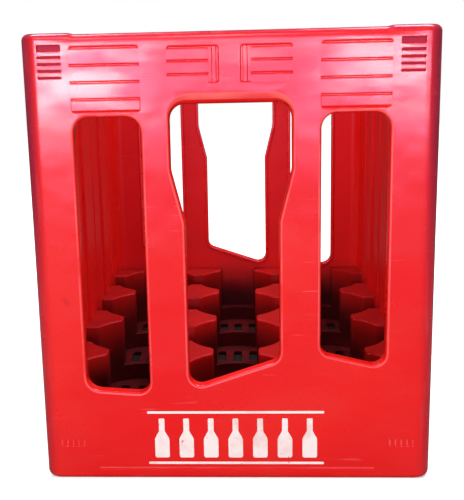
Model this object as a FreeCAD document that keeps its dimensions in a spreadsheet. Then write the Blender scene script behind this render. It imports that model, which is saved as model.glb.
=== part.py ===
import FreeCAD, Part
import math
import os
import Sketcher

# An empty plastic bottle crate of one moulded piece: four walls with a deep rim, three windows in
# each short wall, solid long walls, and twelve round cups on the floor.
# Millimetres, +Z up. X runs along the short walls, Y along the long ones, Z = 0 is the underside.
# The crate looks the same when it is turned half a turn about Z.

SIZES = {
    # the whole crate
    "width": 300,
    "length": 400,
    "height": 343,
    "corner_round": 12,
    # walls
    "skin": 3,
    "wall_depth": 9,
    "flange_wall": 3,
    "rim_height": 11,
    "rim_dip": 2,
    "corner_block": 34,
    "foot_lift": 1.5,
    # cups: the pocket for one bottle, the posts between pockets and the gaps between posts
    "cups_across": 3,
    "cups_along": 4,
    "floor_wall": 4,
    "cup_bore": 90,
    "post_top": 67.5,
    "cup_edge": 20,
    "gap_wide": 40,
    "foot_ring": 3,
    # drain slots in the floor of each cup
    "drain_wide": 9,
    "drain_long": 54,
    "drain_pitch": 17,
    # guide ribs inside the long walls
    "guide_wide": 24,
    "rib_wide": 8,
    "guide_proud": 3,
    "rib_proud": 1.2,
    # side windows of a short wall, measured from the corner and down from the rim
    "side_in": 65,
    "side_margin": 36.5,
    "side_band": 60,
    "side_round": 11,
    # the centre window: wide at the hand hold, narrow below the waist
    "hand_half": 44,
    "hold_band": 52,
    "hand_tall": 48,
    "waist_tall": 38.5,
    "neck_half": 34.5,
    "waist_round": 20,
    "sill_round": 9,
    # sills, from the left of the front wall to its right
    "sill_far_left": 74.5,
    "sill_left": 71,
    "sill_mid_left": 74,
    "sill_mid_right": 97.5,
    "sill_right": 102.5,
    "sill_far_right": 91,
    # grips moulded into the band above the windows, measured down from the rim
    "groove_deep": 1.2,
    "groove_wide": 2,
    "bar_drop": 9,
    "bar_pitch": 12.1,
    "bar_count": 4,
    "hold_drop": 18.9,
    "hold_pitch": 9.3,
    "hold_count": 2,
    "hold_in": 13.3,
    "hold_low": 39.6,
    "hold_high": 9.4,
    "hold_rib": 4.5,
    # short slots in the corner blocks
    "slot_out": 11,
    "slot_long": 18.5,
    "slot_drop": 8.6,
    "slot_pitch": 4.85,
    "slot_count": 4,
    "slot_wide": 1.6,
    "slot_tall": 4.6,
    # shallow line above the foot of each wall, and the fields of the long walls
    "foot_line": 9.6,
    "foot_margin": 43,
    "field_low": 78,
    "field_margin": 38,
    "field_gap": 12,
    "field_count": 7,
    "field_deep": 1,
}

doc = FreeCAD.newDocument("bottle_crate")
sheet = doc.addObject("Spreadsheet::Sheet", "sizes")


class Dim:
    """A size with its number and the text that binds it to the sheet."""

    def __init__(self, value, text):
        self.value = value
        self.text = text

    def join(self, other, sign, value):
        text = other.text if isinstance(other, Dim) else repr(other)
        return Dim(value, "(" + self.text + " " + sign + " " + text + ")")

    def __add__(self, other):
        return self.join(other, "+", self.value + number(other))

    def __sub__(self, other):
        return self.join(other, "-", self.value - number(other))

    def __mul__(self, other):
        return self.join(other, "*", self.value * number(other))

    def __truediv__(self, other):
        return self.join(other, "/", self.value / number(other))

    def __neg__(self):
        return self * -1


def number(size):
    return size.value if isinstance(size, Dim) else size


def fill_sheet():
    dims = {}
    for row, (alias, value) in enumerate(SIZES.items(), start=1):
        sheet.set("A%d" % row, alias)
        sheet.set("B%d" % row, str(value))
        sheet.setAlias("B%d" % row, alias)
        dims[alias] = Dim(float(value), "sizes." + alias)
    doc.recompute()
    return dims


d = fill_sheet()


def bind(thing, prop, size):
    if isinstance(size, Dim):
        thing.setExpression(prop, size.text)
    else:
        setattr(thing, prop, size)


def box(name, x, y, z):
    """A block between two values on each axis."""
    block = doc.addObject("Part::Box", name)
    for axis, prop, (low, high) in (("x", "Length", x), ("y", "Width", y), ("z", "Height", z)):
        block.setExpression(prop, (high - low).text)
        block.setExpression("Placement.Base." + axis, low.text)
    return block


def cylinder(name, x, y, radius, z):
    round_bar = doc.addObject("Part::Cylinder", name)
    low, high = z
    bind(round_bar, "Radius", radius)
    bind(round_bar, "Height", high - low)
    for axis, place in (("x", x), ("y", y), ("z", low)):
        round_bar.setExpression("Placement.Base." + axis, place.text)
    return round_bar


def tangent_points(before, corner, after, radius):
    """Where a round of this radius starts and ends, and its centre."""
    back = (before - corner).normalize()
    ahead = (after - corner).normalize()
    half = math.acos(max(-1.0, min(1.0, back.dot(ahead)))) / 2
    reach = radius / math.tan(half)
    middle = corner + (back + ahead).normalize() * (radius / math.sin(half))
    return corner + back * reach, corner + ahead * reach, middle


def outline(name, corners, upright=False):
    """A closed outline of straight sides and rounds. Each corner is (across, up, round)."""
    sketch = doc.addObject("Sketcher::SketchObject", name)
    spots = [FreeCAD.Vector(number(u), number(v), 0) for u, v, r in corners]
    count = len(corners)
    rounds = [tangent_points(spots[i - 1], spots[i], spots[(i + 1) % count], number(corners[i][2]))
              for i in range(count)]
    for i in range(count):
        start, end, middle = rounds[i]
        begin = math.atan2(start.y - middle.y, start.x - middle.x)
        finish = math.atan2(end.y - middle.y, end.x - middle.x)
        turns_left = (start - middle).cross(end - middle).z > 0
        circle = Part.Circle(middle, FreeCAD.Vector(0, 0, 1), number(corners[i][2]))
        sweep = (begin, finish) if turns_left else (finish, begin)
        sketch.addGeometry(Part.LineSegment(end, rounds[(i + 1) % count][0]), False)
        sketch.addGeometry(Part.ArcOfCircle(circle, *sweep), False)
        sketch.addGeometry(Part.Point(spots[i]), True)
    for i, (u, v, r) in enumerate(corners):
        side, arc, spot = 3 * i, 3 * i + 1, 3 * i + 2
        last_side = 3 * ((i - 1) % count)
        start, end, middle = rounds[i]
        turns_left = (start - middle).cross(end - middle).z > 0
        first_end, second_end = (1, 2) if turns_left else (2, 1)
        sketch.addConstraint(Sketcher.Constraint("Tangent", last_side, 2, arc, first_end))
        sketch.addConstraint(Sketcher.Constraint("Tangent", side, 1, arc, second_end))
        sketch.addConstraint(Sketcher.Constraint("PointOnObject", spot, 1, side))
        sketch.addConstraint(Sketcher.Constraint("PointOnObject", spot, 1, last_side))
        for kind, size, letter in (("DistanceX", u, "u"), ("DistanceY", v, "v")):
            label = "%s%d" % (letter, i)
            sketch.addConstraint(Sketcher.Constraint(kind, -1, 1, spot, 1, number(size)))
            sketch.renameConstraint(sketch.ConstraintCount - 1, label)
            sketch.setExpression("Constraints." + label, size.text)
        sketch.addConstraint(Sketcher.Constraint("Radius", arc, number(r)))
        sketch.renameConstraint(sketch.ConstraintCount - 1, "round%d" % i)
        sketch.setExpression("Constraints.round%d" % i, r.text)
    if upright:
        quarter = FreeCAD.Rotation(FreeCAD.Vector(1, 0, 0), 90)
        sketch.Placement = FreeCAD.Placement(FreeCAD.Vector(), quarter)
    return sketch


def prism(name, sketch, direction, low, high):
    """The outline drawn out between two values along one axis."""
    solid = doc.addObject("Part::Extrusion", name)
    solid.Base = sketch
    solid.DirMode = "Custom"
    solid.Dir = direction
    solid.Solid = True
    solid.setExpression("LengthFwd", high.text)
    solid.setExpression("LengthRev", (-low).text)
    return solid


def fuse(name, pieces):
    joined = doc.addObject("Part::MultiFuse", name)
    joined.Shapes = pieces
    joined.Refine = True
    return joined


def cut(name, base, tool):
    left = doc.addObject("Part::Cut", name)
    left.Base = base
    left.Tool = tool
    left.Refine = True
    return left


def half_turn(name, thing):
    """The same thing on the opposite wall: mirrored across both upright planes."""
    across = doc.addObject("Part::Mirroring", name + "_across")
    across.Source = thing
    across.Normal = FreeCAD.Vector(0, 1, 0)
    turned = doc.addObject("Part::Mirroring", name)
    turned.Source = across
    turned.Normal = FreeCAD.Vector(1, 0, 0)
    return turned


UP = FreeCAD.Vector(0, 0, 1)
PAST = 1
half_width = d["width"] / 2
half_length = d["length"] / 2
zero = d["height"] * 0
cup_step_x = (d["width"] - d["wall_depth"] * 2) / d["cups_across"]
cup_step_y = (d["length"] - d["wall_depth"] * 2) / d["cups_along"]
cups_across = int(SIZES["cups_across"])
cups_along = int(SIZES["cups_along"])
cup_x = [cup_step_x * (i - (cups_across - 1) / 2) for i in range(cups_across)]
cup_y = [cup_step_y * (i - (cups_along - 1) / 2) for i in range(cups_along)]
side_out = half_width - d["side_margin"]
side_top = d["height"] - d["side_band"]
hand_top = d["height"] - d["hold_band"]
waist_high = hand_top - d["hand_tall"]
waist_low = waist_high - d["waist_tall"]


def plan(name, inset, low, high):
    """A block with rounded upright corners, this far inside the outer faces."""
    x = half_width - inset
    y = half_length - inset
    r = d["corner_round"] - inset * d["corner_round"] / (d["corner_round"] + d["wall_depth"])
    corners = [(-x, -y, r), (x, -y, r), (x, y, r), (-x, y, r)]
    return prism(name, outline(name + "_outline", corners), UP, low, high)


def shell():
    """Outer walls with their rim, the floor and everything hollow above it."""
    outer = plan("outer", zero, zero, d["height"])
    hollow = plan("hollow", d["skin"], d["floor_wall"], d["height"] - d["rim_height"])
    mouth = plan("mouth", d["wall_depth"], d["floor_wall"], d["height"] + PAST)
    return cut("shell", outer, fuse("inside", [hollow, mouth]))


def posts():
    """The block between the round cups, cut through by the gaps that leave its posts."""
    x = half_width - d["skin"]
    y = half_length - d["skin"]
    block = plan("post_block", d["skin"] / 2, d["floor_wall"] / 2, d["post_top"])
    tools = []
    for i, across in enumerate(cup_x):
        tools.append(box("gap_along_%d" % i, around(across, d["gap_wide"]), (-y, y),
                         (d["cup_edge"], d["post_top"] + PAST)))
        for j, along in enumerate(cup_y):
            tools.append(cylinder("cup_%d_%d" % (i, j), across, along, d["cup_bore"] / 2,
                                  (d["floor_wall"], d["post_top"] + PAST)))
    for j, along in enumerate(cup_y):
        tools.append(box("gap_across_%d" % j, (-x, x), around(along, d["gap_wide"]),
                         (d["cup_edge"], d["post_top"] + PAST)))
    return cut("posts", block, fuse("cups", tools))


def guides():
    """Upright ribs inside both long walls, wide ones in line with the posts."""
    ribs = []
    for side, sign in (("right", 1), ("left", -1)):
        face = (half_width - d["skin"] / 2) * sign
        for j in range(2 * cups_along - 1):
            wide = j % 2 == 1
            proud = d["guide_proud"] if wide else d["rib_proud"]
            spread = (d["guide_wide"] if wide else d["rib_wide"]) / 2
            inner = (half_width - d["skin"] - proud) * sign
            y = cup_step_y * ((j + 1) / 2 - cups_along / 2)
            ribs.append(box("guide_%s_%d" % (side, j), (inner, face) if sign > 0 else (face, inner),
                            (y - spread, y + spread),
                            (d["floor_wall"] / 2, d["height"] - d["rim_height"] / 2)))
    return ribs


def window_outlines():
    """Corners of the three windows of the front wall: left, centre and right."""
    left = [(-side_out, d["sill_far_left"], d["side_round"]),
            (-d["side_in"], d["sill_left"], d["sill_round"]),
            (-d["side_in"], side_top, d["side_round"]),
            (-side_out, side_top, d["side_round"])]
    centre = [(-d["neck_half"], d["sill_mid_left"], d["sill_round"]),
              (d["neck_half"], d["sill_mid_right"], d["sill_round"]),
              (d["neck_half"], waist_low, d["waist_round"]),
              (d["hand_half"], waist_high, d["waist_round"]),
              (d["hand_half"], hand_top, d["side_round"]),
              (-d["hand_half"], hand_top, d["side_round"]),
              (-d["hand_half"], waist_high, d["waist_round"]),
              (-d["neck_half"], waist_low, d["waist_round"])]
    right = [(d["side_in"], d["sill_right"], d["sill_round"]),
             (side_out, d["sill_far_right"], d["sill_round"]),
             (side_out, side_top, d["side_round"]),
             (d["side_in"], side_top, d["side_round"])]
    return {"left": left, "centre": centre, "right": right}


def spread_outline(corners, margin):
    """The same outline, larger all round by a margin."""
    middle_u = sum(number(u) for u, v, r in corners) / len(corners)
    middle_v = sum(number(v) for u, v, r in corners) / len(corners)
    return [(u + margin if number(u) > middle_u else u - margin,
             v + margin if number(v) > middle_v + 20 else v - margin, r) for u, v, r in corners]


def windows():
    """Window holes and the flanges around them, on the front wall."""
    toward_front = FreeCAD.Vector(0, -1, 0)
    holes = []
    flanges = []
    for name, corners in window_outlines().items():
        hole = outline("window_" + name, corners, upright=True)
        holes.append(prism("hole_" + name, hole, toward_front, half_length - d["wall_depth"] * 2,
                           half_length + PAST))
        frame = outline("frame_" + name, spread_outline(corners, d["flange_wall"]), upright=True)
        flanges.append(prism("flange_" + name, frame, toward_front, half_length - d["wall_depth"],
                             half_length - d["skin"] / 2))
    return holes, flanges


def groove_on_front(name, u, v):
    """A shallow cut in the outside of the front wall."""
    return box(name, u, (-half_length - PAST, -half_length + d["groove_deep"]), v)


def groove_on_side(name, u, v, deep=None):
    """A shallow cut in the outside of the right-hand long wall."""
    return box(name, (half_width - (deep or d["groove_deep"]), half_width + PAST), u, v)


def around(middle, thick):
    return (middle - thick / 2, middle + thick / 2)


def corner_slots(groove, half, name):
    """Stacks of short slots in the corner blocks at both ends of one wall."""
    slots = []
    top = d["height"] - d["slot_drop"]
    first = top - (d["slot_tall"] - d["slot_wide"]) / 2 - d["slot_pitch"]
    for end in (-1, 1):
        near = (half - d["slot_out"]) * end
        far = (half - d["slot_out"] - d["slot_long"]) * end
        span = (far, near) if end > 0 else (near, far)
        for k in range(int(SIZES["slot_count"])):
            slots.append(groove("%s_slot_%d_%d" % (name, end + 1, k), span,
                                around(first - d["slot_pitch"] * k, d["slot_wide"])))
        slots.append(groove("%s_slot_%d_top" % (name, end + 1), span, around(top, d["slot_tall"])))
    return slots


def grip_bars(groove, spans, name):
    """Long level grooves that leave rounded bars between them."""
    return [groove("%s_bar_%d_%d" % (name, i, k), span,
                   around(d["height"] - d["bar_drop"] - d["bar_pitch"] * k, d["groove_wide"]))
            for i, span in enumerate(spans) for k in range(int(SIZES["bar_count"]))]


def hand_hold():
    """Grooves and upright ribs on the band above the centre window."""
    cuts = []
    for end in (-1, 1):
        for k in range(int(SIZES["hold_count"])):
            span = (d["hold_in"], d["hand_half"]) if end > 0 else (-d["hand_half"], -d["hold_in"])
            cuts.append(groove_on_front("hold_%d_%d" % (end + 1, k), span,
                                        around(d["height"] - d["hold_drop"] - d["hold_pitch"] * k,
                                               d["groove_wide"])))
        for k in range(2):
            place = (d["hold_in"] - d["hold_rib"] * k) * end
            cuts.append(groove_on_front("hold_rib_%d_%d" % (end + 1, k),
                                        around(place, d["groove_wide"] * 0.8),
                                        (d["height"] - d["hold_low"], d["height"] - d["hold_high"])))
    return cuts


def front_details():
    spans = [(-side_out, -d["side_in"]), (d["side_in"], side_out)]
    reach = half_width - d["foot_margin"]
    foot = groove_on_front("front_foot_line", (-reach, reach),
                           around(d["foot_line"], d["groove_wide"] / 2))
    slots = corner_slots(groove_on_front, half_width, "front")
    return slots + grip_bars(groove_on_front, spans, "front") + hand_hold() + [foot]


def long_wall_details():
    reach = half_length - d["foot_margin"]
    fields = []
    count = int(SIZES["field_count"])
    wide = ((half_length - d["field_margin"]) * 2 - d["field_gap"] * (count - 1)) / count
    for k in range(count):
        span = around((wide + d["field_gap"]) * (k - (count - 1) / 2), wide)
        fields.append(groove_on_side("field_%d" % k, span, (d["field_low"], side_top), d["field_deep"]))
    edge = half_length - d["side_margin"]
    inner = cup_step_y / 2
    spans = [(-edge, -inner), (-inner + d["hold_rib"] * 2, inner - d["hold_rib"] * 2), (inner, edge)]
    foot = groove_on_side("side_foot_line", (-reach, reach),
                          around(d["foot_line"], d["groove_wide"] / 2))
    slots = corner_slots(groove_on_side, half_length, "side")
    return slots + grip_bars(groove_on_side, spans, "side") + fields + [foot]


def rim_dips():
    """The rim lies a little lower between the corner blocks."""
    low = d["height"] - d["rim_dip"]
    x = half_width - d["corner_block"]
    y = half_length - d["corner_block"]
    span = (low, d["height"] + PAST)
    return [box("rim_dip_short", (-x, x), (-half_length - PAST, half_length + PAST), span),
            box("rim_dip_long", (-half_width - PAST, half_width + PAST), (-y, y), span)]


def floor_cuts():
    """Drain slots in every cup and the shallow hollow under it."""
    cuts = []
    for i, across in enumerate(cup_x):
        for j, along in enumerate(cup_y):
            cuts.append(cylinder("lift_%d_%d" % (i, j), across, along,
                                 d["cup_bore"] / 2 - d["foot_ring"], (zero - PAST, d["foot_lift"])))
            for k in (-1, 0, 1):
                x = across + d["drain_pitch"] * k
                cuts.append(box("drain_%d_%d_%d" % (i, j, k + 1), around(x, d["drain_wide"]),
                                around(along, d["drain_long"]), (zero - PAST, d["floor_wall"] + PAST)))
    return cuts


def crate():
    holes, flanges = windows()
    front_frames = fuse("front_frames", flanges)
    back_frames = half_turn("back_frames", front_frames)
    solid = fuse("solid", [shell(), posts(), front_frames, back_frames] + guides())
    wall_cuts = fuse("wall_cuts", holes + front_details() + long_wall_details())
    rest = fuse("rest_cuts", rim_dips() + floor_cuts())
    opened = cut("opened", solid, wall_cuts)
    turned = cut("turned", opened, half_turn("wall_cuts_turned", wall_cuts))
    body = cut("crate", turned, rest)
    body.Label = "crate"
    return body


def check_and_write(pieces):
    doc.recompute()
    for thing in doc.Objects:
        if "Invalid" in thing.State or "Error" in thing.State:
            raise RuntimeError("not built: " + thing.Name)
    os.makedirs("parts", exist_ok=True)
    for piece in pieces:
        shape = piece.Shape
        if shape.isNull() or not shape.isValid():
            raise RuntimeError("bad shape: " + piece.Label)
        if len(shape.Solids) != 1:
            raise RuntimeError("not one solid: " + piece.Label)
        shape.exportStep(os.path.join("parts", piece.Label + ".step"))
        print(piece.Label, "volume", round(shape.Volume), "box", shape.BoundBox)


check_and_write([crate()])
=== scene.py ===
import math

import bmesh
import bpy
from mathutils import Matrix, Vector, geometry


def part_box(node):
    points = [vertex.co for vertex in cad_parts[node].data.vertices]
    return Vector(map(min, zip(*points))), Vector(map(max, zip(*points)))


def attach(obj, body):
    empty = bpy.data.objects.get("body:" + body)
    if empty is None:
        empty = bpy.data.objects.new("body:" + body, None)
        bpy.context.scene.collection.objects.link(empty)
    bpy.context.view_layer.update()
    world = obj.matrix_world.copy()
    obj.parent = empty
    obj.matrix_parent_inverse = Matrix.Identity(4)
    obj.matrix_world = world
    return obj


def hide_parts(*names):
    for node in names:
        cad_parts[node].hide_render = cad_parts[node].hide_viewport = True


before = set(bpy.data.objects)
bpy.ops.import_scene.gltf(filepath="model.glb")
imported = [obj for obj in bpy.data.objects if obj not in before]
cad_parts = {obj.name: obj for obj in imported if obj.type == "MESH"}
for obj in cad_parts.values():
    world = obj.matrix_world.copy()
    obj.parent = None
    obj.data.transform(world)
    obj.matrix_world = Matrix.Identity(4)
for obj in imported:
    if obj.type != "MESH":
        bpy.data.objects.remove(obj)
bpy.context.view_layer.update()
crateLow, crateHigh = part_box("crate")
mm = 0.001
halfWide = (crateHigh.x - crateLow.x) / 2 / mm    # everything below is in millimetres
halfLong = (crateHigh.y - crateLow.y) / 2 / mm
tall = (crateHigh.z - crateLow.z) / mm
print("frame loaded, crate", round(2 * halfWide), round(2 * halfLong), round(tall))


# ---- outlines: lists of (across, up, round) corners, counter-clockwise

leastRound = 0.4


def grown(corners, out):
    # the same outline moved out by a distance, or by one distance for each side
    count = len(corners)
    outs = out if isinstance(out, (list, tuple)) else [out] * count
    moved = []
    for i, (u, v, r) in enumerate(corners):
        lastU, lastV = corners[i - 1][:2]
        nextU, nextV = corners[(i + 1) % count][:2]
        into = Vector((u - lastU, v - lastV)).normalized()
        away = Vector((nextU - u, nextV - v)).normalized()
        sideIn = Vector((into.y, -into.x))
        sideOut = Vector((away.y, -away.x))
        turn = into.x * away.y - into.y * away.x
        before, after = outs[i - 1], outs[i]
        a = Vector((u, v)) + sideIn * before
        b = Vector((u, v)) + sideOut * after
        reach = ((b - a).x * away.y - (b - a).y * away.x) / turn
        spot = a + into * reach
        mean = (before + after) / 2
        moved.append((spot.x, spot.y, max(leastRound, r + mean if turn > 0 else r - mean)))
    return moved


def sampled(corners, steps=7):
    # points of a rounded outline, as many for every size of it
    points = []
    count = len(corners)
    for i, (u, v, r) in enumerate(corners):
        spot = Vector((u, v))
        back = (Vector(corners[i - 1][:2]) - spot).normalized()
        ahead = (Vector(corners[(i + 1) % count][:2]) - spot).normalized()
        half = back.angle(ahead) / 2
        middle = spot + (back + ahead).normalized() * (r / math.sin(half))
        start = spot + back * (r / math.tan(half)) - middle
        end = spot + ahead * (r / math.tan(half)) - middle
        sweep = start.angle_signed(end)
        for k in range(steps + 1):
            ray = start.copy()
            ray.rotate(Matrix.Rotation(-sweep * k / steps, 2))
            points.append(middle + ray)
    return points


def rectangle(left, right, low, top, r):
    return [(left, low, r), (right, low, r), (right, top, r), (left, top, r)]


# ---- the shell: floor, four walls, rim

shellSizes = {
    "cornerRound": 12, "cornerShrink": 0.57, "cornerSteps": 8,
    "skin": 3, "wallDepth": 9, "floorWall": 4,
    "rimHeight": 11, "rimDip": 1, "cornerBlock": 34, "dipRun": 6,
    "rimRound": 4.8, "footRound": 4.5, "lipRound": 1.4, "roundSteps": 5,
}
windowSizes = {
    "sideIn": 65, "sideOut": 113.5, "sideTop": 283, "sideRound": 11,
    "handHalf": 44, "handTop": 291, "waistHigh": 243, "waistLow": 204.5, "neckHalf": 34.5,
    "waistRound": 20, "sillRound": 9,
    "farLeftSill": 74.5, "leftSill": 71, "midLeftSill": 74, "midRightSill": 97.5,
    "rightSill": 102.5, "farRightSill": 91,
    "edgeRound": 2.2, "holdUnder": 8, "holdDeep": 6, "flange": 3, "innerRound": 1, "innerBlend": 0.3,
    "paleEdgeRings": 2,
}
pocketShape = {"midOut": 0.35, "midDeep": 0.2, "deepestEdge": 0.6, "draft": 0.2}
gripSizes = {
    "deep": 1.1, "edge": 1.2, "corner": 1.6, "bayLow": 287, "bayTop": 332.6, "over": 2.6,
    "barLow": 295.8, "barPitch": 12.15, "barCount": 3, "shelf": 287.1, "shelfSink": 0.2,
    "holdLow": 306.5, "holdTop": 331.3, "holdBar": 302.8, "holdPitch": 9.35, "holdCount": 3,
    "ribIn": 8, "ribOut": 15, "ribAside": 0.5, "ribWide": 3.6, "longWallGap": 4,
    "between": 0.3, "sink": 2, "under": 0.06, "round": 0.98, "stretch": 1.25,
    "slotDeep": 2.4, "slotEdge": 0.35, "slotRound": 0.7, "slotOut": 13, "slotLong": 17, "slotLow": 310.8,
    "slotPitch": 4.85, "slotCount": 5, "slotTall": 1.6, "slotTopTall": 4.6,
}
cupSizes = {
    "across": 3, "along": 4, "bore": 90, "gap": 40, "edge": 20, "top": 67.5,
    "drainWide": 9, "drainLong": 54, "drainPitch": 17, "drainRound": 3,
    "footRing": 3, "ringBevel": 0.5, "lift": 1.5,
    "topRound": 4, "webRound": 1.4, "cornerSoft": 7,
}
footSizes = {
    "line": 9.6, "lineTall": 1.9, "lineIn": 43, "lineDeep": 0.9, "lineRound": 0.9, "edge": 0.45,
    "pips": 5, "pipIn": 32, "pipPitch": 4.4, "pipWide": 1.6, "pipLow": 28, "pipTall": 5.5,
    "pipDeep": 0.5, "pipRound": 0.75,
}
fieldSizes = {"low": 78, "high": 283, "wide": 36, "pitch": 48, "count": 7,
              "deep": 1, "round": 8, "edge": 0.7}

sunk = 1    # how far ribs, webs and posts run into the wall or floor that carries them
onFace, onPrint, onSlot, onInside, onEdge = range(5)    # the shell's finishes, as buildShell gets them

stepX = (2 * halfWide - 2 * shellSizes["wallDepth"]) / cupSizes["across"]
stepY = (2 * halfLong - 2 * shellSizes["wallDepth"]) / cupSizes["along"]
cupX = [stepX * (i - (cupSizes["across"] - 1) / 2) for i in range(cupSizes["across"])]
cupY = [stepY * (i - (cupSizes["along"] - 1) / 2) for i in range(cupSizes["along"])]


class Wall:
    # one outer wall: u runs along it, v up, and depth goes in from its outer face
    def __init__(self, turns, reach, half):
        self.turn = Matrix.Rotation(math.pi / 2 * turns, 3, "Z")
        self.reach = reach
        self.half = half

    def at(self, u, v, depth):
        return self.turn @ Vector((u, depth - self.reach, v)) * mm


walls = [Wall(0, halfLong, halfWide), Wall(1, halfWide, halfLong),
         Wall(2, halfLong, halfWide), Wall(3, halfWide, halfLong)]


def rimDip(along, half):
    # how far the rim lies below its corner blocks, at this place along a wall
    run = (half - shellSizes["cornerBlock"] - abs(along)) / shellSizes["dipRun"]
    run = max(0, min(1, run))
    return shellSizes["rimDip"] * run * run * (3 - 2 * run)


def stations(half):
    # places along a straight wall where the rim starts, ends or crosses its dip
    block = half - shellSizes["cornerBlock"]
    places = [block - shellSizes["dipRun"] * k / 4 for k in range(5)]
    return [-p for p in places] + places[::-1]


def perimeter(inset, height, dips):
    # one loop of points round all four walls
    r = shellSizes["cornerRound"] - shellSizes["cornerShrink"] * inset
    steps = shellSizes["cornerSteps"]
    loop = []
    for wall in walls:
        end = wall.half - inset - r
        for u in [-end] + stations(wall.half) + [end]:
            loop.append(wall.at(u, height - dips * rimDip(u, wall.half), inset))
        for k in range(1, steps):
            a = math.pi / 2 * k / steps
            loop.append(wall.at(end + r * math.sin(a), height, inset + r - r * math.cos(a)))
    return loop


def bridge(bm, loopA, loopB, finish=onFace):
    count = len(loopA)
    for i in range(count):
        face = bm.faces.new((loopA[i], loopA[(i + 1) % count], loopB[(i + 1) % count], loopB[i]))
        face.material_index = finish


def fillFlat(bm, loops, finish=onFace):
    # triangles over a flat outline with holes
    flat = [vert for loop in loops for vert in loop]
    for a, b, c in geometry.tessellate_polygon([[vert.co for vert in loop] for loop in loops]):
        face = bm.faces.new((flat[a], flat[b], flat[c]))
        face.material_index = finish


def ringOn(bm, wall, points, depth):
    depths = depth if isinstance(depth, list) else [depth] * len(points)
    return [bm.verts.new(wall.at(p.x, p.y, d)) for p, d in zip(points, depths)]


def windowOutlines():
    # each outline with the width of its rounded edge; the hand hold has a wide one on its fifth side
    w = windowSizes
    side, sill, waist = w["sideRound"], w["sillRound"], w["waistRound"]
    left = [(-w["sideOut"], w["farLeftSill"], side), (-w["sideIn"], w["leftSill"], sill),
            (-w["sideIn"], w["sideTop"], side), (-w["sideOut"], w["sideTop"], side)]
    centre = [(-w["neckHalf"], w["midLeftSill"], sill), (w["neckHalf"], w["midRightSill"], sill),
              (w["neckHalf"], w["waistLow"], waist), (w["handHalf"], w["waistHigh"], waist),
              (w["handHalf"], w["handTop"], side), (-w["handHalf"], w["handTop"], side),
              (-w["handHalf"], w["waistHigh"], waist), (-w["neckHalf"], w["waistLow"], waist)]
    right = [(w["sideIn"], w["rightSill"], sill), (w["sideOut"], w["farRightSill"], sill),
             (w["sideOut"], w["sideTop"], side), (w["sideIn"], w["sideTop"], side)]
    edge = w["edgeRound"]
    centreEdges = [edge] * 4 + [w["holdUnder"]] + [edge] * 3
    return [(left, edge), (centre, centreEdges), (right, edge)]


def openWindow(bm, wall, corners, edge):
    # rounded outer edge, reveal, and the flange inside: returns the outer and the inner loop
    w = windowSizes
    hole = sampled(corners)
    face = sampled(grown(corners, edge))
    steps = shellSizes["roundSteps"]
    rings = []
    for k in range(steps + 1):
        a = math.pi / 2 * k / steps
        points = [f.lerp(h, math.sin(a)) for f, h in zip(face, hole)]
        depths = [min((f - h).length, w["holdDeep"]) * (1 - math.cos(a)) for f, h in zip(face, hole)]
        rings.append(ringOn(bm, wall, points, depths))
    deep, small, flange = shellSizes["wallDepth"], w["innerRound"], w["flange"]
    blend = small * w["innerBlend"]
    for out, depth in ((0, deep - small), (blend, deep - blend), (small, deep),
                       (flange - small, deep), (flange - blend, deep - blend),
                       (flange, deep - small), (flange, shellSizes["skin"])):
        rings.append(ringOn(bm, wall, sampled(grown(corners, out)), depth))
    for k, (outer, inner) in enumerate(zip(rings, rings[1:])):
        bridge(bm, outer, inner, onEdge if k < w["paleEdgeRings"] else onFace)
    return rings[0], rings[-1]


def sinkPocket(bm, wall, corners, deep, edge, finish=onFace):
    # a shallow recess with a soft edge: returns its outer loop
    p = pocketShape
    rings = [ringOn(bm, wall, sampled(grown(corners, edge)), 0),
             ringOn(bm, wall, sampled(grown(corners, edge * p["midOut"])), edge * p["midDeep"]),
             ringOn(bm, wall, sampled(corners), min(edge, deep * p["deepestEdge"])),
             ringOn(bm, wall, sampled(grown(corners, -p["draft"])), deep)]
    for outer, inner in zip(rings, rings[1:]):
        bridge(bm, outer, inner)
    fillFlat(bm, [rings[-1]], finish)
    return rings[0]


def gripBays(index):
    # the bays of long bars in one wall's band: (left, right, low, top)
    w, g = windowSizes, gripSizes
    if index % 2 == 0:
        spans = [(-w["sideOut"], -w["sideIn"]), (w["sideIn"], w["sideOut"])]
    else:
        edge = halfLong - (halfWide - w["sideOut"])
        inner = stepY / 2
        gap = g["longWallGap"]
        spans = [(-edge, -inner - gap), (gap - inner, inner - gap), (inner + gap, edge)]
    return [(left, right, g["bayLow"], g["bayTop"]) for left, right in spans]


def holdBays(index):
    # the two bays over a hand hold
    w, g = windowSizes, gripSizes
    spans = [(-w["handHalf"], -g["ribIn"]), (g["ribIn"], w["handHalf"])] if index % 2 == 0 else []
    return [(left, right, g["holdLow"], g["holdTop"]) for left, right in spans]


def cornerSlots(half):
    # the slot stacks of the corner blocks at both ends of one wall
    g = gripSizes
    pockets = []
    slotTop = g["slotLow"] + g["slotPitch"] * (g["slotCount"] - 1)
    for side in (-1, 1):
        near, far = side * (half - g["slotOut"]), side * (half - g["slotOut"] - g["slotLong"])
        for k in range(g["slotCount"]):
            low = g["slotLow"] + g["slotPitch"] * k
            high = low + (g["slotTopTall"] if low == slotTop else g["slotTall"])
            pockets.append(rectangle(min(near, far), max(near, far), low, high, g["slotRound"]))
    return pockets


def footMarks(half):
    # the line over the foot of one wall, and a row of small pips at both its ends
    f = footSizes
    line = f["line"] - f["lineTall"] / 2
    run = half - f["lineIn"]
    marks = [(rectangle(-run, run, line, line + f["lineTall"], f["lineRound"]), f["lineDeep"])]
    for side in (-1, 1):
        for k in range(f["pips"]):
            u = side * (half - f["pipIn"] + f["pipPitch"] * k)
            marks.append((rectangle(u - f["pipWide"] / 2, u + f["pipWide"] / 2, f["pipLow"],
                                    f["pipLow"] + f["pipTall"], f["pipRound"]), f["pipDeep"]))
    return marks


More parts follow.
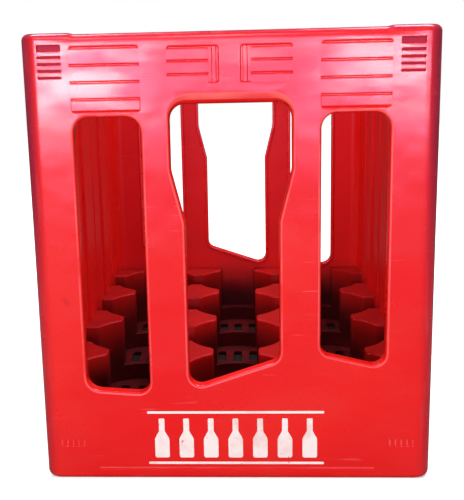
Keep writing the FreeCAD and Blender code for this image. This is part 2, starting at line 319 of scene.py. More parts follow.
def emblemOutlines():
    # a plain generic print: a row of bottle shapes between two rules
    e = {"count": 7, "pitch": 19, "low": 18.5, "body": 5.6, "shoulder": 22, "straight": 0.72,
         "neck": 2.2, "top": 51, "footRound": 1.6, "bodyRound": 5, "neckRound": 3, "topRound": 0.8,
         "ruleHalf": 68, "ruleLow": 13, "ruleHigh": 57, "ruleTall": 2, "ruleRound": 0.9}
    marks = [rectangle(-e["ruleHalf"], e["ruleHalf"], low, low + e["ruleTall"], e["ruleRound"])
             for low in (e["ruleLow"], e["ruleHigh"] - e["ruleTall"])]
    bodyTop, neckLow = e["low"] + e["shoulder"] * e["straight"], e["low"] + e["shoulder"]
    half = [(e["body"], e["low"], e["footRound"]), (e["body"], bodyTop, e["bodyRound"]),
            (e["neck"], neckLow, e["neckRound"]), (e["neck"], e["top"], e["topRound"])]
    for k in range(e["count"]):
        x = e["pitch"] * (k - (e["count"] - 1) / 2)
        marks.append([(x + u, v, r) for u, v, r in half] + [(x - u, v, r) for u, v, r in half[::-1]])
    return marks


def slots(x, y):
    # the three drain slots of one cup
    c = cupSizes
    wide, long = c["drainWide"] / 2, c["drainLong"] / 2
    middles = [x + c["drainPitch"] * k for k in (-1, 0, 1)]
    return [rectangle(m - wide, m + wide, y - long, y + long, c["drainRound"]) for m in middles]


def circle(x, y, radius, steps=56):
    return [Vector((x + radius * math.cos(a), y + radius * math.sin(a)))
            for a in (2 * math.pi * k / steps for k in range(steps))]


def buildShell(finishes):
    s = shellSizes
    bm = bmesh.new()
    loops = {}

    def ring(name, inset, height, dips=0):
        loops[name] = [bm.verts.new(p) for p in perimeter(inset, height, dips)]
        return loops[name]

    def rounded(start, end, corner, dips=0):
        # the loops of a quarter round from start to end about a sharp corner, each (inset, height)
        made = []
        for k in range(1, s["roundSteps"]):
            a = math.pi / 2 * k / s["roundSteps"]
            inset, height = (c + (first - c) * (1 - math.sin(a)) + (last - c) * (1 - math.cos(a))
                             for first, last, c in zip(start, end, corner))
            made.append([bm.verts.new(p) for p in perimeter(inset, height, dips)])
        return made

    rim, lip, foot, deep = s["rimRound"], s["lipRound"], s["footRound"], s["wallDepth"]
    under = tall - s["rimHeight"]
    chain = [ring("underside", foot, 0)]
    chain += rounded((foot, 0), (0, foot), (0, 0))
    chain.append(ring("wallFoot", 0, foot))
    for a, b in zip(chain, chain[1:]):
        bridge(bm, a, b)
    chain = [ring("wallTop", 0, tall - rim, 1)]
    chain += rounded((0, tall - rim), (rim, tall), (0, tall), 1)
    chain.append(ring("rimOut", rim, tall, 1))
    chain.append(ring("rimIn", deep - lip, tall, 1))
    chain += rounded((deep - lip, tall), (deep, tall - lip), (deep, tall), 1)
    chain.append(ring("lipTop", deep, tall - lip, 1))
    chain.append(ring("lipLow", deep, under + lip))
    chain += rounded((deep, under + lip), (deep - lip, under), (deep, under))
    chain.append(ring("lipUnder", deep - lip, under))
    chain.append(ring("skinTop", s["skin"], under))
    for a, b in zip(chain, chain[1:]):
        bridge(bm, a, b)
    ring("skinFoot", s["skin"], s["floorWall"])

    g, f = gripSizes, fieldSizes
    straight = len(stations(halfWide)) + 2    # points along one wall, and then those round its corner
    perWall = straight + s["cornerSteps"] - 1
    for index, wall in enumerate(walls):
        start = index * perWall
        spans = [[loops[name][(start + k) % (4 * perWall)] for k in range(perWall + 1)]
                 for name in ("wallFoot", "wallTop", "skinFoot", "skinTop")]
        for (low, high), finish in ((spans[:2], onFace), (spans[2:], onInside)):
            for k in range(straight - 1, perWall):
                bm.faces.new((low[k], low[k + 1], high[k + 1], high[k])).material_index = finish
        outerHoles, innerHoles = [], []
        if index % 2 == 0:
            for corners, edge in windowOutlines():
                outside, inside = openWindow(bm, wall, corners, edge)
                outerHoles.append(outside)
                innerHoles.append(inside)
            fields = []
        else:
            fields = [f["pitch"] * (k - (f["count"] - 1) / 2) for k in range(f["count"])]
        for bay in gripBays(index) + holdBays(index):
            outerHoles.append(sinkPocket(bm, wall, rectangle(*bay, g["corner"]), g["deep"], g["edge"]))
        for corners in cornerSlots(wall.half):
            outerHoles.append(sinkPocket(bm, wall, corners, g["slotDeep"], g["slotEdge"], onSlot))
        for corners, inward in footMarks(wall.half):
            outerHoles.append(sinkPocket(bm, wall, corners, inward, footSizes["edge"], onEdge))
        for u in fields:
            corners = rectangle(u - f["wide"] / 2, u + f["wide"] / 2, f["low"], f["high"], f["round"])
            outerHoles.append(sinkPocket(bm, wall, corners, f["deep"], f["edge"]))
        for corners in emblemOutlines():
            mark = ringOn(bm, wall, sampled(corners, 4), 0)
            fillFlat(bm, [mark], onPrint)
            outerHoles.append(mark)
        fillFlat(bm, [spans[0][:straight] + spans[1][:straight][::-1]] + outerHoles)
        fillFlat(bm, [spans[2][:straight] + spans[3][:straight][::-1]] + innerHoles, onInside)

    def level(points, height):
        return [bm.verts.new(Vector((p.x, p.y, height)) * mm) for p in points]

    c = cupSizes
    floorTop, floorUnder = [loops["skinFoot"]], [loops["underside"]]
    for x in cupX:
        for y in cupY:
            hollow = c["bore"] / 2 - c["footRing"]
            ringLow = level(circle(x, y, hollow + c["ringBevel"]), 0)
            ringEdge = level(circle(x, y, hollow), c["ringBevel"])
            ringHigh = level(circle(x, y, hollow), c["lift"])
            bridge(bm, ringLow, ringEdge)
            bridge(bm, ringEdge, ringHigh)
            floorUnder.append(ringLow)
            hollowTop = [ringHigh]
            for corners in slots(x, y):
                above = level(sampled(corners, 3), s["floorWall"])
                below = level(sampled(corners, 3), c["lift"])
                bridge(bm, above, below, onInside)
                floorTop.append(above)
                hollowTop.append(below)
            fillFlat(bm, hollowTop)
    fillFlat(bm, floorTop, onInside)
    fillFlat(bm, floorUnder)
    bmesh.ops.remove_doubles(bm, verts=bm.verts, dist=0.00001)
    bmesh.ops.recalc_face_normals(bm, faces=bm.faces)
    mesh = bpy.data.meshes.new("crateShell")
    bm.to_mesh(mesh)
    bm.free()
    for finish in finishes:
        mesh.materials.append(finish)
    return dressed("crateShell", mesh)


def dressed(name, mesh, sharp=38):
    # a piece from a mesh, shaded smooth where it is round
    piece = bpy.data.objects.new(name, mesh)
    bpy.context.scene.collection.objects.link(piece)
    mesh.shade_smooth()
    mesh.set_sharp_from_angle(angle=math.radians(sharp))
    weighted = piece.modifiers.new("flatFaces", "WEIGHTED_NORMAL")
    weighted.keep_sharp = True
    weighted.mode = "FACE_AREA"
    return piece


# ---- pieces made by Geometry Nodes

class Value:
    # a socket that can be added, multiplied and so on: each sum is a Math node
    def __init__(self, graph, socket):
        self.graph, self.socket = graph, socket

    def math(self, operation, *others):
        return self.graph.node("ShaderNodeMath", {"operation": operation},
                               dict(enumerate((self,) + others))).value(0)

    def __add__(self, other):
        return self.math("ADD", other)

    def __radd__(self, other):
        return self.math("ADD", other)

    def __sub__(self, other):
        return self.math("SUBTRACT", other)

    def __rsub__(self, other):
        return self.graph.number(other).math("SUBTRACT", self)

    def __mul__(self, other):
        return self.math("MULTIPLY", other)

    def __rmul__(self, other):
        return self.math("MULTIPLY", other)

    def __truediv__(self, other):
        return self.math("DIVIDE", other)

    def __neg__(self):
        return self.math("MULTIPLY", -1)

    def ramp(self, low, high, start=0.0, end=1.0):
        # smoothly from start to end while the value goes from low to high
        return self.graph.node("ShaderNodeMapRange", {"interpolation_type": "SMOOTHSTEP"},
                               {"Value": self, "From Min": low, "From Max": high,
                                "To Min": start, "To Max": end}).value()


class Placed:
    # a node in a tree, giving its outputs as values
    def __init__(self, graph, node):
        self.graph, self.node = graph, node

    def value(self, key=0):
        return Value(self.graph, self.node.outputs[key])


class Graph:
    def __init__(self, tree):
        self.tree = tree

    def node(self, kind, settings=None, inputs=None):
        # settings first, since they decide which sockets there are
        node = self.tree.nodes.new(kind)
        for key, setting in (settings or {}).items():
            setattr(node, key, setting)
        for key, given in (inputs or {}).items():
            for one in (given if isinstance(given, list) else [given]):
                if isinstance(one, Value):
                    self.tree.links.new(one.socket, node.inputs[key])
                else:
                    node.inputs[key].default_value = one
        return Placed(self, node)

    def number(self, amount):
        node = self.node("ShaderNodeValue")
        node.node.outputs[0].default_value = amount
        return node.value()

    def tint(self, amount, first, second):
        # from the first colour to the second by an amount
        mixed = self.node("ShaderNodeMix", {"data_type": "RGBA"}, {0: amount, 6: first, 7: second})
        return mixed.value(2)

    def noise(self, place, scale, detail):
        return self.node("ShaderNodeTexNoise", None,
                         {"Vector": place, "Scale": scale, "Detail": detail, "Roughness": 0.55}).value(0)

    def stretched(self, place, scale, turned=(0, 0, 0)):
        return self.node("ShaderNodeMapping", None,
                         {"Vector": place, "Rotation": turned, "Scale": scale}).value()

    def vector(self, x=0.0, y=0.0, z=0.0):
        return self.node("ShaderNodeCombineXYZ", None, {0: x, 1: y, 2: z}).value()


def nodesToMesh(name, build, inputs, finish, base=None):
    # runs a node tree once and keeps the plain mesh it makes
    tree = bpy.data.node_groups.new(name, "GeometryNodeTree")
    tree.interface.new_socket("Geometry", in_out="INPUT", socket_type="NodeSocketGeometry")
    tree.interface.new_socket("Geometry", in_out="OUTPUT", socket_type="NodeSocketGeometry")
    for label, amount in inputs.items():
        kind = "NodeSocketInt" if isinstance(amount, int) else "NodeSocketFloat"
        tree.interface.new_socket(label, in_out="INPUT", socket_type=kind)
    graph = Graph(tree)
    shape = build(graph, graph.node("NodeGroupInput"))
    real = graph.node("GeometryNodeRealizeInstances", None, {"Geometry": shape}).value()
    coated = graph.node("GeometryNodeSetMaterial", None, {"Geometry": real, "Material": finish}).value()
    graph.node("NodeGroupOutput", None, {0: coated})
    holder = bpy.data.objects.new(name + "Nodes", base or bpy.data.meshes.new(name + "Base"))
    bpy.context.scene.collection.objects.link(holder)
    modifier = holder.modifiers.new("nodes", "NODES")
    modifier.node_group = tree
    for item in tree.interface.items_tree:
        if item.in_out == "INPUT" and item.name in inputs:
            modifier[item.identifier] = inputs[item.name]
    scene = bpy.context.evaluated_depsgraph_get()
    mesh = bpy.data.meshes.new_from_object(holder.evaluated_get(scene))
    mesh.name = name
    bpy.data.objects.remove(holder)
    bm = bmesh.new()
    bm.from_mesh(mesh)
    bmesh.ops.remove_doubles(bm, verts=bm.verts, dist=0.000002)
    bmesh.ops.recalc_face_normals(bm, faces=bm.faces)
    bm.to_mesh(mesh)
    bm.free()
    return mesh


def roundBars(graph, given):
    # a rounded bar along every edge it is given
    path = graph.node("GeometryNodeMeshToCurve", None, {"Mesh": given.value("Geometry")}).value()
    stretch = given.value("Stretch")
    box = graph.node("GeometryNodeCurvePrimitiveQuadrilateral", None,
                     {"Width": given.value("Thick"), "Height": given.value("Tall") / stretch}).value()
    rounded = graph.node("GeometryNodeFilletCurve", {"mode": "POLY"},
                         {"Curve": box, "Radius": given.value("Round"), "Count": 5}).value()
    profile = graph.node("GeometryNodeTransform", None,
                         {"Geometry": rounded, "Scale": graph.vector(1, stretch, 1)}).value()
    return graph.node("GeometryNodeCurveToMesh", None,
                      {"Curve": path, "Profile Curve": profile, "Fill Caps": True}).value()


def barPaths(name, runs):
    # edges for roundBars: each run is (wall, u, v, u, v, depth)
    mesh = bpy.data.meshes.new(name)
    spots = [place for wall, u1, v1, u2, v2, depth in runs
             for place in (wall.at(u1, v1, depth), wall.at(u2, v2, depth))]
    mesh.from_pydata(spots, [(2 * k, 2 * k + 1) for k in range(len(runs))], [])
    return mesh


def makeGrips(finish):
    # flush bars that leave soft grooves between them; their ends run on under the face beside
    g = gripSizes
    made = []
    middle = g["sink"] / 2 + g["under"]
    barTall, holdTall = g["barPitch"] - g["between"], g["holdPitch"] - g["between"]
    shelfTall = g["barLow"] - g["shelf"] - g["between"] / 2
    rows = {"gripBars": (g["sink"], barTall, []), "shelfBars": (g["sink"], shelfTall, []),
            "holdBars": (g["sink"], holdTall, []), "holdRibs": (g["ribWide"], g["sink"], [])}
    for index, wall in enumerate(walls):
        for left, right, _, _ in gripBays(index):
            start, end = left - g["over"], right + g["over"]
            v = g["shelf"] + shelfTall / 2
            rows["shelfBars"][2].append((wall, start, v, end, v, middle + g["shelfSink"]))
            for k in range(g["barCount"]):
                v = g["barLow"] + g["barPitch"] * (k + 0.5)
                rows["gripBars"][2].append((wall, start, v, end, v, middle))
        for left, right, low, top in holdBays(index):
            side = 1 if left > 0 else -1
            near, far = side * g["ribOut"], (right if side > 0 else left) + side * g["over"]
            u = side * ((g["ribIn"] + g["ribOut"]) / 2 - g["ribAside"])
            rows["holdRibs"][2].append((wall, u, low, u, top, middle))
            for k in range(g["holdCount"]):
                v = g["holdBar"] + g["holdPitch"] * (k + 0.5)
                rows["holdBars"][2].append((wall, near, v, far, v, middle))
    for name, (thick, high, runs) in rows.items():
        stretch = 1.0 if name == "holdRibs" else g["stretch"]
        mesh = nodesToMesh(name, roundBars, {
            "Tall": high * mm, "Thick": thick * mm, "Round": g["round"] * mm, "Stretch": stretch},
            finish, barPaths(name + "Path", runs))
        made.append(dressed(name, mesh))
    return made


def ribRows(graph, given):
    # upright ribs on both long walls: wide ones between the cups, narrow ones at their middles
    rows = []
    cups, step, sunk = given.value("Cups"), given.value("Step"), given.value("Sunk")
    for wideKey, reachKey, count, start in (("Wide", "Reach", cups - 1, cups / 2 - 1),
                                            ("Narrow", "Proud", cups, cups / 2 - 0.5)):
        thick = given.value(reachKey) + sunk
        box = graph.node("GeometryNodeCurvePrimitiveQuadrilateral", None,
                         {"Width": thick, "Height": given.value(wideKey)}).value()
        profile = graph.node("GeometryNodeFilletCurve", {"mode": "POLY"},
                             {"Curve": box, "Radius": given.value("Round"), "Count": 4}).value()
        plate = graph.node("GeometryNodeFillCurve", {"mode": "NGONS"}, {"Curve": profile}).value()
        rise = given.value("High") - given.value("Low")
        drawn = graph.node("GeometryNodeExtrudeMesh", {"mode": "FACES"},
                           {"Mesh": plate, "Offset": graph.vector(0, 0, 1), "Offset Scale": rise,
                            "Individual": False}).value()
        under = graph.node("GeometryNodeFlipFaces", None, {"Mesh": plate}).value()
        rib = graph.node("GeometryNodeJoinGeometry", None, {"Geometry": [drawn, under]}).value()
        inner = given.value("Skin face") + sunk - thick / 2
        line = graph.node("GeometryNodeMeshLine", {"mode": "OFFSET"},
                          {"Count": count,
                           "Start Location": graph.vector(inner, -(start * step), given.value("Low")),
                           "Offset": graph.vector(0, step, 0)}).value()
        rows.append(graph.node("GeometryNodeInstanceOnPoints", None,
                               {"Points": line, "Instance": rib}).value())
    side = graph.node("GeometryNodeJoinGeometry", None, {"Geometry": rows}).value()
    other = graph.node("GeometryNodeTransform", None,
                       {"Geometry": side, "Rotation": (0, 0, math.pi)}).value()
    return graph.node("GeometryNodeJoinGeometry", None, {"Geometry": [side, other]}).value()


def makeGuides(finish):
    g = {"wide": 24, "narrow": 8, "reach": 3, "proud": 1.2, "round": 0.9}
    s = shellSizes
    mesh = nodesToMesh("guideRibs", ribRows, {
        "Cups": cupSizes["along"], "Step": stepY * mm, "Skin face": (halfWide - s["skin"]) * mm,
        "Wide": g["wide"] * mm, "Narrow": g["narrow"] * mm, "Reach": g["reach"] * mm,
        "Proud": g["proud"] * mm, "Round": g["round"] * mm, "Sunk": sunk * mm,
        "Low": (s["floorWall"] - sunk) * mm, "High": (tall - s["rimHeight"] + sunk) * mm}, finish)
    return [dressed("guideRibs", mesh)]


def webPlate(graph, given):
    # a plate with a grid of round holes
    ring = graph.node("GeometryNodeCurvePrimitiveCircle", {"mode": "RADIUS"},
                      {"Resolution": 72, "Radius": given.value("Bore") / 2}).value()
    spots = graph.node("GeometryNodeMeshGrid", None,
                       {"Size X": given.value("Step X") * (given.value("Across") - 1),
                        "Size Y": given.value("Step Y") * (given.value("Along") - 1),
                        "Vertices X": given.value("Across"), "Vertices Y": given.value("Along")}).value()
    holes = graph.node("GeometryNodeInstanceOnPoints", None, {"Points": spots, "Instance": ring}).value()
    rim = graph.node("GeometryNodeCurvePrimitiveQuadrilateral", None,
                     {"Width": given.value("Wide"), "Height": given.value("Long")}).value()
    edge = graph.node("GeometryNodeFilletCurve", {"mode": "POLY"},
                      {"Curve": rim, "Radius": given.value("Corner"), "Count": 8}).value()
    cut = graph.node("GeometryNodeRealizeInstances", None, {"Geometry": holes}).value()
    curves = graph.node("GeometryNodeJoinGeometry", None, {"Geometry": [edge, cut]}).value()
    plate = graph.node("GeometryNodeFillCurve", {"mode": "TRIANGLES"}, {"Curve": curves}).value()
    low = graph.node("GeometryNodeTransform", None,
                     {"Geometry": plate, "Translation": graph.vector(0, 0, given.value("Low"))}).value()
    rise = given.value("High") - given.value("Low")
    drawn = graph.node("GeometryNodeExtrudeMesh", {"mode": "FACES"},
                       {"Mesh": low, "Offset": graph.vector(0, 0, 1), "Offset Scale": rise,
                        "Individual": False}).value()
    under = graph.node("GeometryNodeFlipFaces", None, {"Mesh": low}).value()
    return graph.node("GeometryNodeJoinGeometry", None, {"Geometry": [drawn, under]}).value()


def makeWebs(finish):
    c, s = cupSizes, shellSizes
    mesh = nodesToMesh("cupWebs", webPlate, {
        "Across": c["across"], "Along": c["along"], "Step X": stepX * mm, "Step Y": stepY * mm,
        "Bore": c["bore"] * mm, "Wide": 2 * (halfWide - s["skin"] + sunk) * mm,
        "Long": 2 * (halfLong - s["skin"] + sunk) * mm, "Corner": (s["cornerRound"] - 1) * mm,
        "Low": (s["floorWall"] - sunk) * mm, "High": c["edge"] * mm}, finish)
    webs = dressed("cupWebs", mesh)
    softened(webs, c["webRound"])
    return [webs]


def softened(piece, wide, segments=3):
    bevel = piece.modifiers.new("softEdges", "BEVEL")
    bevel.width = wide * mm
    bevel.segments = segments
    bevel.limit_method = "ANGLE"
    bevel.angle_limit = math.radians(40)
    piece.modifiers.move(len(piece.modifiers) - 1, 0)    # before the weighted normals


def postMesh(name, west, east, south, north):
    # one post about the meeting point of four cups; the limits are how far it runs each way
    c = cupSizes
    r, half = c["bore"] / 2, c["gap"] / 2
    armX, armY = stepX / 2 - half, stepY / 2 - half
    steep = math.atan2(math.sqrt(r * r - half * half), half)
    outline = []
    for signX, signY in ((1, -1), (1, 1), (-1, 1), (-1, -1)):
        endX = min(armX, east if signX > 0 else west)
        endY = min(armY, north if signY > 0 else south)
        if endX < armX and endY < armY:
            # this corner stands inside the rounded corner of the walls
            soft, turns = c["cornerSoft"], [math.pi / 2 * k / 6 for k in range(7)]
            quarter = [(endX - soft + soft * math.cos(a), endY - soft + soft * math.sin(a))
                       for a in turns]
        elif endX < armX or endY < armY:
            quarter = [(endX, endY)]
        else:
            turns = [steep + (math.pi / 2 - 2 * steep) * k / 12 for k in range(13)]
            quarter = [(stepX / 2 - r * math.cos(a), stepY / 2 - r * math.sin(a)) for a in turns]
        quarter = [Vector((signX * x, signY * y)) for x, y in quarter]
        outline += quarter if signX * signY > 0 else quarter[::-1]
    bm = bmesh.new()
    low, high = ([bm.verts.new(Vector((p.x, p.y, z)) * mm) for p in outline]
                 for z in (shellSizes["floorWall"] - sunk, c["top"]))
    bridge(bm, low, high)
    fillFlat(bm, [low])
    fillFlat(bm, [high])
    bmesh.ops.dissolve_limit(bm, angle_limit=0.01, verts=bm.verts, edges=bm.edges)
    bmesh.ops.recalc_face_normals(bm, faces=bm.faces)
    mesh = bpy.data.meshes.new(name)
    bm.to_mesh(mesh)
    bm.free()
    return mesh


def copiesOnGrid(graph, given):
    # the given mesh on a grid of places, and the same half a turn round
    countX, countY = given.value("Count X"), given.value("Count Y")
    spots = graph.node("GeometryNodeMeshGrid", None,
                       {"Size X": given.value("Step X") * (countX - 1), "Vertices X": countX,
                        "Size Y": given.value("Step Y") * (countY - 1), "Vertices Y": countY}).value()
    centre = graph.vector(given.value("Centre X"), given.value("Centre Y"), 0)
    moved = graph.node("GeometryNodeTransform", None, {"Geometry": spots, "Translation": centre}).value()
    copies = graph.node("GeometryNodeInstanceOnPoints", None,
                        {"Points": moved, "Instance": given.value("Geometry")}).value()
    turned = graph.node("GeometryNodeTransform", None,
                        {"Geometry": copies, "Rotation": (0, 0, math.pi)}).value()
    return graph.node("GeometryNodeJoinGeometry", None, {"Geometry": [copies, turned]}).value()


def makePosts(finish):
    c = cupSizes
    far = 99    # no wall that way
    wall = shellSizes["wallDepth"] - shellSizes["skin"] + sunk
    sideX, sideY = halfWide - shellSizes["wallDepth"], halfLong - shellSizes["wallDepth"]
    across, along = c["across"] - 1, c["along"] - 1
    kinds = [("middlePosts", (far, far, far, far), 1, along, stepX / 2, 0),
             ("longWallPosts", (far, wall, far, far), 1, along, sideX, 0),
             ("shortWallPosts", (far, far, far, wall), across, 1, 0, sideY),
             ("cornerPosts", (far, wall, far, wall), 1, 1, sideX, sideY),
             ("otherCornerPosts", (wall, far, far, wall), 1, 1, -sideX, sideY)]
    made = []
    for name, reach, countX, countY, x, y in kinds:
        mesh = nodesToMesh(name, copiesOnGrid, {
            "Count X": countX, "Count Y": countY, "Step X": stepX * mm, "Step Y": stepY * mm,
            "Centre X": x * mm, "Centre Y": y * mm}, finish, postMesh(name + "Unit", *reach))
        post = dressed(name, mesh)
        softened(post, c["topRound"], 4)
        made.append(post)
    return made


# ---- finishes

def newMaterial(name):
    material = bpy.data.materials.new(name)
    material.use_nodes = True
    return material, Graph(material.node_tree), material.node_tree.nodes["Principled BSDF"]


def join(graph, socket, target):
    graph.tree.links.new(socket.socket, target)


def scratches(graph, place, turned, scale, rare):
    # thin lines in one direction, where a long drawn noise is at its highest
    along = graph.stretched(place, scale, turned)
    return graph.noise(along, 1, 1).ramp(rare, rare + 0.07)


plasticLooks = {
    "face": {"red": (0.76, 0.0105, 0.0070, 1), "warm": (0.79, 0.0140, 0.0060, 1),
             "lowColour": (0.70, 0.0110, 0.008, 1), "rough": 0.21, "specular": 0.5},
    "inside": {"red": (0.76, 0.0095, 0.0075, 1), "warm": (0.79, 0.0120, 0.0070, 1),
               # its low colour is near black: painted shade low in the cups
               "lowColour": (0.060, 0.0030, 0.0020, 1), "rough": 0.36, "specular": 0.22},
    # the pale edge rings and foot marks: a paler red, part rubbed wear and part painted highlight
    "edge": {"red": (0.78, 0.060, 0.055, 1), "warm": (0.80, 0.030, 0.025, 1),
             "lowColour": (0.70, 0.0110, 0.008, 1), "rough": 0.28, "specular": 0.5},
    # slot floors: painted shade, a darker red
    "slot": {"red": (0.34, 0.0150, 0.0380, 1), "warm": (0.40, 0.0180, 0.0440, 1),
             "lowColour": (0.1, 0.003, 0.003, 1), "rough": 0.5, "specular": 0.2},
}
wearAndShadeLooks = {
    "chalk": (0.86, 0.16, 0.13, 1), "paintedRoundShade": (0.30, 0.016, 0.045, 1), "stain": (0.16, 0.012, 0.010, 1),
    "scuff": 0.32, "wearAndHighlight": 0.12, "stained": 0.35,
}
bumpSizes = {"strength": 0.6, "distance": 0.001, "wave": 2.2, "grain": 0.014, "scuff": -0.05}


def makePlastic(name, kind, darkeningTop=0.084):
    # glossy moulded red: soft flow patches, scuffs and pale worn edges, with painted shade on the corner
    # rounds and the rim and a painted highlight on the pale edge finish; duller inside, with painted
    # shade darkening it towards the floor
    look, wearAndShade, b = plasticLooks[kind], wearAndShadeLooks, bumpSizes
    material, graph, bsdf = newMaterial(name)
    place = graph.node("ShaderNodeTexCoord").value("Object")
    split = graph.node("ShaderNodeSeparateXYZ", None, {"Vector": place})
    x, y, z = (split.value(k) for k in range(3))
    pastX, pastY = x.math("ABSOLUTE") - halfWide * mm, y.math("ABSOLUTE") - halfLong * mm
    corner = pastX.math("MINIMUM", pastY).ramp(-0.013, -0.004)
    rim = z.ramp((tall - 5) * mm, (tall - 0.5) * mm)
    foot = z.ramp(0.006, 0.0015)
    patches = graph.noise(place, 9, 2)
    grain = graph.noise(place, 420, 2)
    cloud = graph.noise(place, 31, 4)
    wave = graph.noise(place, 19, 2)
    upward = scratches(graph, place, (0.5, 0.35, 0.4), (30, 30, 620), 0.69)
    sideways = scratches(graph, place, (-0.2, 0.9, -0.5), (26, 26, 540), 0.70)
    scuffs = upward.math("MAXIMUM", sideways) * cloud.ramp(0.50, 0.66)
    if kind == "edge":
        # rubbed pale, with a painted highlight, and more so higher up
        wearAndHighlight = cloud.ramp(0.40, 0.60) * z.ramp(0.05, 0.28, 2.0, 4.0)
    else:
        rubs = graph.noise(graph.stretched(place, (150, 150, 13)), 1, 2).ramp(0.52, 0.70)
        wearAndHighlight = (rim.math("MAXIMUM", foot) * cloud.ramp(0.50, 0.62)).math("MAXIMUM", corner * rubs)
    if kind == "inside":
        # painted shade: near black towards the floor of the cups, and on what faces up low down
        facing = graph.node("ShaderNodeSeparateXYZ", None,
                            {"Vector": graph.node("ShaderNodeNewGeometry").value("Normal")}).value(2)
        shadedUpFaces = facing.ramp(0.5, 0.95) * z.ramp(0.09, 0.07) * 0.62
        lowDarkening = z.ramp(darkeningTop, 0.030).math("MAXIMUM", shadedUpFaces) * (0.80 + 0.4 * cloud)
    else:
        # a little darker towards the foot
        lowDarkening = 0.4 * z.ramp(0.05, 0.01)

    colour = graph.tint(patches.ramp(0.35, 0.68), look["red"], look["warm"])
    if kind == "face":
        # painted shade: the corner rounds and the rim darker, more so higher up
        paintedRoundShade = corner.math("MAXIMUM", rim) * z.ramp(0.10, 0.27, 0.35, 0.90)
        colour = graph.tint(paintedRoundShade, colour, wearAndShade["paintedRoundShade"])
    colour = graph.tint(scuffs * wearAndShade["scuff"] + wearAndHighlight * wearAndShade["wearAndHighlight"], colour, wearAndShade["chalk"])
    stains = graph.noise(place, 42, 1).ramp(0.77, 0.84)
    colour = graph.tint(stains * wearAndShade["stained"], colour, wearAndShade["stain"])
    colour = graph.tint(lowDarkening.math("MINIMUM", 1), colour, look["lowColour"])
    join(graph, colour, bsdf.inputs["Base Color"])

    rough = look["rough"] + 0.07 * cloud + 0.05 * patches + 0.22 * scuffs + 0.10 * wearAndHighlight + 0.10 * lowDarkening
    join(graph, rough, bsdf.inputs["Roughness"])
    if kind == "face":
        # a patchy gloss over the red
        sheen = patches * 0.45 + graph.noise(graph.stretched(place, (17, 17, 52)), 1, 3) * 0.55
        join(graph, sheen.ramp(0.42, 0.60, 0, 0.52) * (1 - 0.6 * scuffs), bsdf.inputs["Coat Weight"])
        bsdf.inputs["Coat Roughness"].default_value = 0.14
    height = wave * b["wave"] + grain * b["grain"] + scuffs * b["scuff"]
    bump = graph.node("ShaderNodeBump", None,
                      {"Strength": b["strength"], "Distance": b["distance"], "Height": height})
    join(graph, bump.value(), bsdf.inputs["Normal"])
    bsdf.inputs["Specular IOR Level"].default_value = look["specular"]
    bsdf.inputs["Specular Tint"].default_value = (0.95, 0.55, 1, 1)
    return material


def makePrint():
    # thin pale ink on the same plastic, worn through in places
    look = {"ink": (0.90, 0.79, 0.78, 1), "thin": (0.84, 0.60, 0.58, 1),
            "red": (0.70, 0.0105, 0.0070, 1)}
    material, graph, bsdf = newMaterial("emblemPrint")
    place = graph.node("ShaderNodeTexCoord").value("Object")
    cloud = graph.noise(place, 46, 4)
    specks = graph.noise(place, 330, 3)
    colour = graph.tint(cloud.ramp(0.45, 0.70), look["ink"], look["thin"])
    colour = graph.tint(specks.ramp(0.63, 0.70) * cloud.ramp(0.42, 0.60), colour, look["red"])
    join(graph, colour, bsdf.inputs["Base Color"])
    join(graph, 0.42 + 0.18 * cloud, bsdf.inputs["Roughness"])
    bump = graph.node("ShaderNodeBump", None, {"Strength": 0.3, "Distance": 0.0002, "Height": specks})
    join(graph, bump.value(), bsdf.inputs["Normal"])
    return material


crateRed = makePlastic("crateRed", "face")
crateInside = makePlastic("crateInside", "inside")
# the posts take the painted shade from higher up
postRed = makePlastic("postRed", "inside", 0.105)
paleEdgeAndHighlight = makePlastic("paleEdgeAndHighlight", "edge")
slotShade = makePlastic("slotShade", "slot")
emblemPrint = makePrint()
shell = buildShell([crateRed, emblemPrint, slotShade, crateInside, paleEdgeAndHighlight])
print("shell", len(shell.data.polygons))

finished = [shell] + makeWebs(crateInside) + makePosts(postRed)
finished += makeGuides(crateInside) + makeGrips(crateRed)
for piece in finished:
    print("piece", piece.name, len(piece.data.polygons))
    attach(piece, "root")
    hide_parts("crate")

# ---- camera, lamps, floor

cameraSizes = {"place": (8.8, -793.1, 324.6), "yaw": 2.99, "pitch": 11.44, "roll": -1.37,
               "lens": 39.66, "sensor": 24, "shiftX": 0.0604, "shiftY": -0.0534}
camera = bpy.data.objects.new("camera", bpy.data.cameras.new("camera"))
bpy.context.scene.collection.objects.link(camera)
camera.data.sensor_fit = "VERTICAL"
camera.data.sensor_height = cameraSizes["sensor"]
camera.data.lens = cameraSizes["lens"]
camera.data.shift_x = cameraSizes["shiftX"]
camera.data.shift_y = cameraSizes["shiftY"]
camera.matrix_world = (Matrix.Translation(Vector(cameraSizes["place"]) * mm)
                       @ Matrix.Rotation(math.radians(cameraSizes["yaw"]), 4, "Z")
                       @ Matrix.Rotation(math.radians(90 - cameraSizes["pitch"]), 4, "X")
                       @ Matrix.Rotation(math.radians(cameraSizes["roll"]), 4, "Z"))
bpy.context.scene.camera = camera

# the backdrop is white to the camera, and only a little light on the crate
studio = {"glow": 0.09, "white": 1}
world = bpy.data.worlds.new("studio")
bpy.context.scene.world = world
world.use_nodes = True
sky = Graph(world.node_tree)
sky.tree.nodes.clear()
ray = sky.node("ShaderNodeLightPath")
seen = ray.value("Is Camera Ray").math("MAXIMUM", ray.value("Is Transmission Ray"))
strength = studio["glow"] + seen * (studio["white"] - studio["glow"])
shade = sky.node("ShaderNodeBackground", None, {"Color": (1, 1, 1, 1), "Strength": strength}).value()
sky.node("ShaderNodeOutputWorld", None, {"Surface": shade})

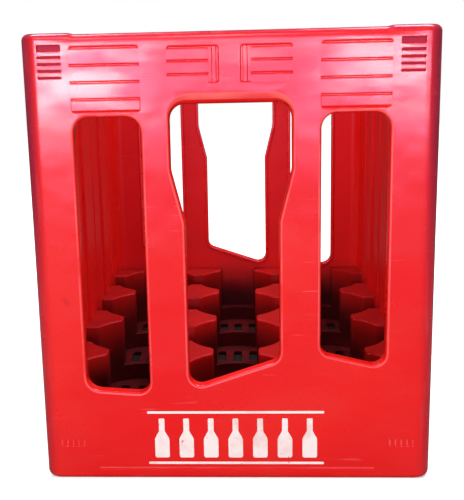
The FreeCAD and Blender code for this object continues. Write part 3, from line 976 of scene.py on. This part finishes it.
# three low banks that the front wall mirrors, and three lamps from above: metres and watts
lamps = {
    "lowBank": {"place": (0.1, -1.2, 0.29), "aim": (0, -0.2, 0.30), "wide": 1.5, "high": 0.16,
                "watts": 6.5, "tone": (0.97, 0.90, 1)},
    "leftBank": {"place": (-0.33, -1.19, 0.305), "aim": (-0.1, -0.2, 0.31), "wide": 0.28, "high": 0.16,
                 "watts": 3, "tone": (1, 1, 0.84)},
    "rightBank": {"place": (0.29, -1.19, 0.305), "aim": (0.14, -0.2, 0.31), "wide": 0.2, "high": 0.13,
                  "watts": 1.3, "tone": (1, 1, 0.9)},
    "frontTop": {"place": (-0.2, -1.2, 1.05), "aim": (0, -0.2, 0.2), "wide": 0.8, "high": 0.5,
                 "watts": 6.4, "tone": (1, 1, 1)},
    "rightTop": {"place": (0.5, 0.1, 1.6), "aim": (0, 0, 0.2), "wide": 0.5, "high": 0.5,
                 "watts": 20, "tone": (1, 1, 1)},
    "leftTop": {"place": (-0.5, 0.1, 1.6), "aim": (0, 0, 0.2), "wide": 0.5, "high": 0.5,
                "watts": 13, "tone": (1, 1, 1)},
}
for name, given in lamps.items():
    data = bpy.data.lights.new(name, "AREA")
    data.color = given["tone"]
    data.shape = "RECTANGLE"
    data.size, data.size_y, data.energy = given["wide"], given["high"], given["watts"]
    lamp = bpy.data.objects.new(name, data)
    bpy.context.scene.collection.objects.link(lamp)
    lamp.location = given["place"]
    sight = Vector(given["aim"]) - Vector(given["place"])
    lamp.rotation_euler = sight.to_track_quat("-Z", "Y").to_euler()
print("lamps", len(lamps))

floorSizes = {"across": 6, "underIn": 0.012, "underOut": 0.001, "glowFrom": 0.02, "glowTo": 0.35,
              "glow": 0.62, "farGlow": 0.6}    # metres from the foot of the crate
bpy.ops.mesh.primitive_plane_add(size=floorSizes["across"], location=(0, 0, 0))
floor = bpy.context.object
floor.name = "floor"
paper, graph, bsdf = newMaterial("paper")
bsdf.inputs["Roughness"].default_value = 0.9
bsdf.inputs["Specular IOR Level"].default_value = 0.1
bsdf.inputs["Emission Strength"].default_value = 1
looked = graph.node("ShaderNodeLightPath").value("Is Camera Ray")
onFloor = graph.node("ShaderNodeSeparateXYZ", None,
                     {"Vector": graph.node("ShaderNodeTexCoord").value("Object")})
offX = onFloor.value(0).math("ABSOLUTE") - halfWide * mm
offY = onFloor.value(1).math("ABSOLUTE") - halfLong * mm
away = offX.math("MAXIMUM", offY)
clear = away.ramp(-floorSizes["underIn"], floorSizes["underOut"])    # painted shadow: under the crate the paper is near black and doesn't glow
# painted shade: the paper glows less close to the crate and more further out
pastShadeAround = away.ramp(floorSizes["glowFrom"], floorSizes["glowTo"])
bright = looked * (clear * floorSizes["glow"] + pastShadeAround * floorSizes["farGlow"])
grey = graph.tint(looked, (0.16, 0.16, 0.16, 1), (0.92, 0.92, 0.92, 1))
join(graph, graph.tint(clear, (0.01, 0.01, 0.01, 1), grey), bsdf.inputs["Base Color"])
join(graph, graph.tint(bright, (0, 0, 0, 1), (1, 1, 1, 1)), bsdf.inputs["Emission Color"])
floor.data.materials.append(paper)

bpy.context.scene.view_settings.view_transform = "Standard"
